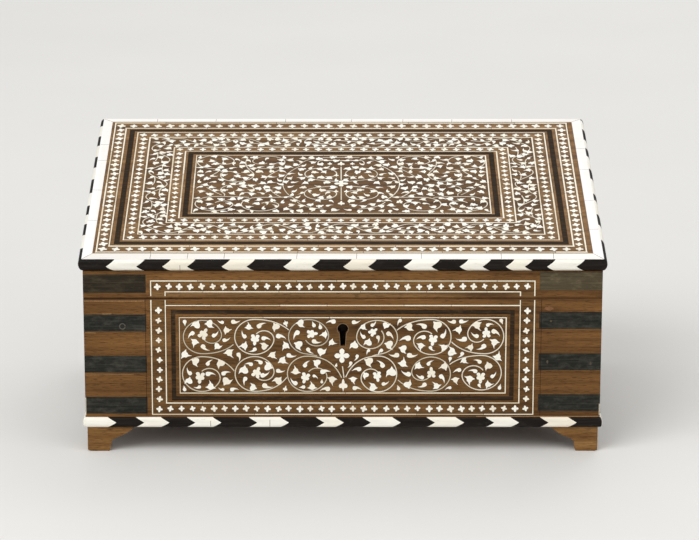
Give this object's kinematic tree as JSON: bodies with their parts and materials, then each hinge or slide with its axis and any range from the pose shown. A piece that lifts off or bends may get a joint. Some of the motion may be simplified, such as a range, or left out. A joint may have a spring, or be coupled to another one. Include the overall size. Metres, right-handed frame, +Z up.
{
  "type": "sloping lidded box",
  "caption": "Wooden table box on bracket feet with a sloping hinged lid, banded corners, bead mouldings, inlaid bone ornament and a box lock.",
  "frame": {"origin": "on the floor, under the middle of the box's walls", "axes": "+Z up, +X to the right along the front, front and keyhole towards -Y, hinges and the lid's high edge towards +Y"},
  "size_m": [0.3764, 0.2438, 0.1949],
  "materials": {
    "rosewood": "waxed brown hardwood",
    "foot_wood": "worn golden-brown hardwood",
    "ebony": "worn near-black hardwood",
    "chevron_bead": "polished bead of alternating bone and ebony chevrons",
    "bone": "polished bone",
    "brass": "dulled brass",
    "iron": "dark worked iron"
  },
  "bodies": {
    "box": {"floor_board": "rosewood", "front_board": "rosewood", "back_board": "rosewood", "left_side_board": "rosewood", "right_side_board": "rosewood", "base_moulding_front": "chevron_bead", "base_moulding_right": "chevron_bead", "base_moulding_back": "chevron_bead", "base_moulding_left": "chevron_bead", "foot_front_left": "foot_wood", "foot_front_right": "foot_wood", "foot_back_left": "foot_wood", "foot_back_right": "foot_wood", "corner_band_front_left_1": "ebony", "corner_band_front_left_2": "ebony", "corner_band_front_left_3": "ebony", "corner_band_front_right_1": "ebony", "corner_band_front_right_2": "ebony", "corner_band_front_right_3": "ebony", "corner_band_back_left_1": "ebony", "corner_band_back_left_2": "ebony", "corner_band_back_left_3": "ebony", "corner_band_back_right_1": "ebony", "corner_band_back_right_2": "ebony", "corner_band_back_right_3": "ebony", "lock_case": "brass", "hinge_box_leaf_left": "brass", "hinge_box_leaf_right": "brass", "hinge_pin_left": "iron", "hinge_pin_right": "iron", "hinge_nail_box_left_1": "iron", "hinge_nail_box_left_2": "iron", "hinge_nail_box_right_1": "iron", "hinge_nail_box_right_2": "iron"},
    "lid": {"lid_panel": "rosewood", "lid_front_rail": "rosewood", "lid_back_rail": "rosewood", "lid_left_rail": "rosewood", "lid_right_rail": "rosewood", "lid_moulding_front": "chevron_bead", "lid_moulding_right": "chevron_bead", "lid_moulding_back": "chevron_bead", "lid_moulding_left": "chevron_bead", "bone_border_front": "bone", "bone_border_right": "bone", "bone_border_back": "bone", "bone_border_left": "bone", "lid_corner_band_front_left": "ebony", "lid_corner_band_front_right": "ebony", "lid_corner_band_back_left": "ebony", "lid_corner_band_back_right": "ebony", "lock_keeper": "iron", "hinge_lid_leaf_left": "brass", "hinge_lid_leaf_right": "brass", "hinge_nail_lid_left_1": "iron", "hinge_nail_lid_left_2": "iron", "hinge_nail_lid_right_1": "iron", "hinge_nail_lid_right_2": "iron"},
    "bolt": {"lock_bolt": "iron"}
  },
  "joints": [
    {"name": "lid_hinge", "type": "hinge", "parent": "box", "child": "lid", "pos_m": [0, 0.1199, 0.1152], "axis": [-1, 0, 0], "range_deg": [0, 105]},
    {"name": "bolt_slide", "type": "slide", "parent": "box", "child": "bolt", "axis": [-1, 0, 0], "range_m": [0, 0.006]}
  ]
}
